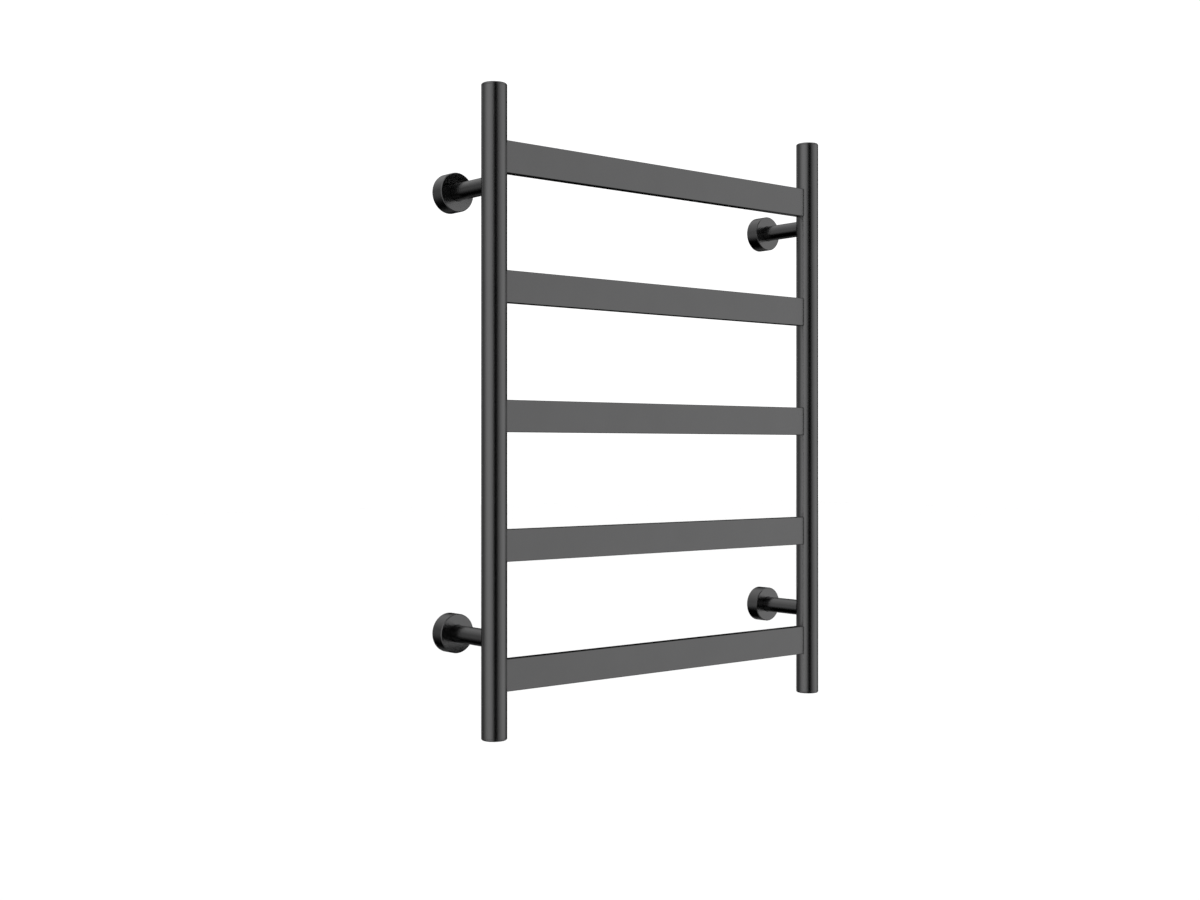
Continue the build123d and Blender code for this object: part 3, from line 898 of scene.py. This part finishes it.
class RACK_OT_electrics(bpy.types.Operator):
    """Gives the heater, its wiring and the earth bond their silicone, plastic and brass"""

    bl_idname = "rack.electrics"
    bl_label = "Heater and wiring"

    def execute(self, context):
        colour = context.scene.rack_hardware.heater_colour
        red_silicone = moulded("red_silicone", colour, roughness=0.46, grain=0.7 * MM)
        give_finish(["heating_cable", "heating_cable_end_seal"], red_silicone)
        for part in MOULDINGS:
            give_finish(part.nodes, moulded(part.name, part.colour, part.roughness, part.grain))
        give_finish(["earth_wire"], earth_insulation("earth_insulation"))
        brass = plain_metal("terminal_brass", (0.68, 0.50, 0.22), roughness=0.28, grain=0.4 * MM)
        give_finish(["earth_terminal"], brass)
        return {"FINISHED"}


# ---------------------------------------------------------------- stage
def ramp(number, start, end):
    """From 0 at start to 1 at end, and flat beyond both: (number - start) / (end - start), clamped."""
    return ((number - start) * (1 / (end - start))).clamped()


def studio_light(shader, stage):
    """How bright the studio is in each direction, as reflections see it.

    A soft light is the square of a ramp in the cosine of the angle from its middle, from its reach to its
    middle. The two tall lights end a little below the horizon, except in front of the rack, where the pale
    floor mirrors them and is lit itself. The right one fades towards the wall. The gap between them is
    dark, and is stretched to be the same at every height. The ceiling fades in above the horizon and out
    again towards the right. The rear light leaves out the right, and gets brighter up to the horizon. The
    room behind on the right is dark at eye level, where the bars' top and bottom edges mirror it. A low
    light there begins well below the horizon, for the backs of the bars.
    """
    direction = shader.signal("TexCoord", out="Generated")
    across, to_wall, up = parts_of(shader, direction)

    def soft_light(azimuth, reach, brightness=1.0, stretch=1.0):
        """A light at an azimuth, 0 in front and 90 on the right, out to its reach, both in degrees."""
        turn = math.radians(azimuth)
        facing = (across * math.sin(turn) - to_wall * math.cos(turn)) * stretch
        return ramp(facing, math.cos(math.radians(reach)), 1).power(2) * brightness

    in_front = ramp(to_wall, 0, -0.5)
    above_floor = ramp(up + in_front * 0.25, -0.52, -0.2075)
    left = soft_light(azimuth=-85, reach=77, brightness=stage.left_light)
    right = soft_light(azimuth=54, reach=86, brightness=stage.right_light) * ramp(to_wall, 0.25, -0.35)
    ceiling = ramp(up, 0.2, 0.8) * ramp(across, 0.75, 0.3) * stage.ceiling_light
    gap = soft_light(azimuth=-25, reach=28, stretch=(1 - up.power(2)).power(-0.5))
    floor = ramp(up, -0.4, -0.6) * in_front * stage.floor_light
    rear = soft_light(azimuth=180, reach=60, brightness=stage.rear_light)
    rear_side = ramp(across, 0.4, 0.1) * ramp(up, -0.5, 0.0263)
    low = soft_light(azimuth=140, reach=56, brightness=stage.low_light) * ramp(up, -0.34, -0.49)
    return ((left + right) * above_floor + ceiling) * (1 - gap) + floor + rear * rear_side + low


class RACK_OT_stage(bpy.types.Operator):
    """Makes the camera, the soft studio light and the plain floor"""

    bl_idname = "rack.stage"
    bl_label = "Stage"

    def execute(self, context):
        scene = context.scene
        stage = scene.rack_stage
        data = bpy.data.cameras.new("camera")
        data.lens = stage.lens
        data.sensor_width = SENSOR_WIDTH_MM
        camera = bpy.data.objects.new("camera", data)
        scene.collection.objects.link(camera)
        camera.location = stage.camera_place
        camera.rotation_euler = (math.radians(90), 0, -stage.camera_turn)
        scene.camera = camera
        world = bpy.data.worlds.new("studio")
        shader = Shader(world)
        glossy = shader.signal("LightPath", out="Is Glossy Ray")
        surroundings = (1 - glossy) * stage.room_light + glossy * studio_light(shader, stage)
        light = shader.signal("Background", Color=(1, 1, 1, 1), Strength=surroundings)
        shader.finish(light, "OutputWorld")
        world.cycles.sampling_method = "NONE"
        scene.world = world
        scene.view_settings.view_transform = "Standard"
        low = CAD_BOX[0][2] - stage.floor_drop
        wide = stage.floor_size
        mesh = bpy.data.meshes.new("floor")
        corners = [(-wide, -wide, low), (wide, -wide, low), (wide, wide, low), (-wide, wide, low)]
        mesh.from_pydata(corners, [], [(0, 1, 2, 3)])
        mesh.materials.append(pale_floor("floor_paint"))
        floor = bpy.data.objects.new("floor", mesh)
        scene.collection.objects.link(floor)
        floor.visible_glossy = False
        return {"FINISHED"}


# ---------------------------------------------------------------- sidebar
class RACK_PT_panel(bpy.types.Panel):
    """Lists the pieces, the finishes and the stage"""

    bl_idname = "RACK_PT_panel"
    bl_label = "Towel Warmer Rack"
    bl_space_type = "VIEW_3D"
    bl_region_type = "UI"
    bl_category = "Towel Rack"

    def draw(self, context):
        for made in PIECES:
            self.layout.operator(made.bl_idname)
        for name, group in SETTINGS.items():
            box = self.layout.box()
            for key in group.__annotations__:
                box.prop(getattr(context.scene, name), key)


PIECES = (
    RACK_OT_stage,
    RACK_OT_uprights,
    RACK_OT_end_caps,
    RACK_OT_crossbars,
    RACK_OT_posts,
    RACK_OT_covers,
    RACK_OT_welds,
    RACK_OT_brackets,
    RACK_OT_rubber,
    RACK_OT_electrics,
)
SETTINGS = {
    "rack_shape": RackShape,
    "rack_coating": RackCoating,
    "rack_hardware": RackHardware,
    "rack_stage": RackStage,
}


def register():
    for made in (*SETTINGS.values(), *PIECES, RACK_PT_panel):
        bpy.utils.register_class(made)
    for name, group in SETTINGS.items():
        setattr(bpy.types.Scene, name, PointerProperty(type=group))


def unregister():
    for name in SETTINGS:
        delattr(bpy.types.Scene, name)
    for made in reversed((*SETTINGS.values(), *PIECES, RACK_PT_panel)):
        bpy.utils.unregister_class(made)


def main():
    register()
    bpy.ops.rack.stage()
    bpy.ops.rack.uprights()
    bpy.ops.rack.end_caps()
    bpy.ops.rack.crossbars()
    bpy.ops.rack.posts()
    bpy.ops.rack.covers()
    bpy.ops.rack.welds()
    bpy.ops.rack.brackets()
    bpy.ops.rack.rubber()
    bpy.ops.rack.electrics()


if __name__ == "__main__":
    main()
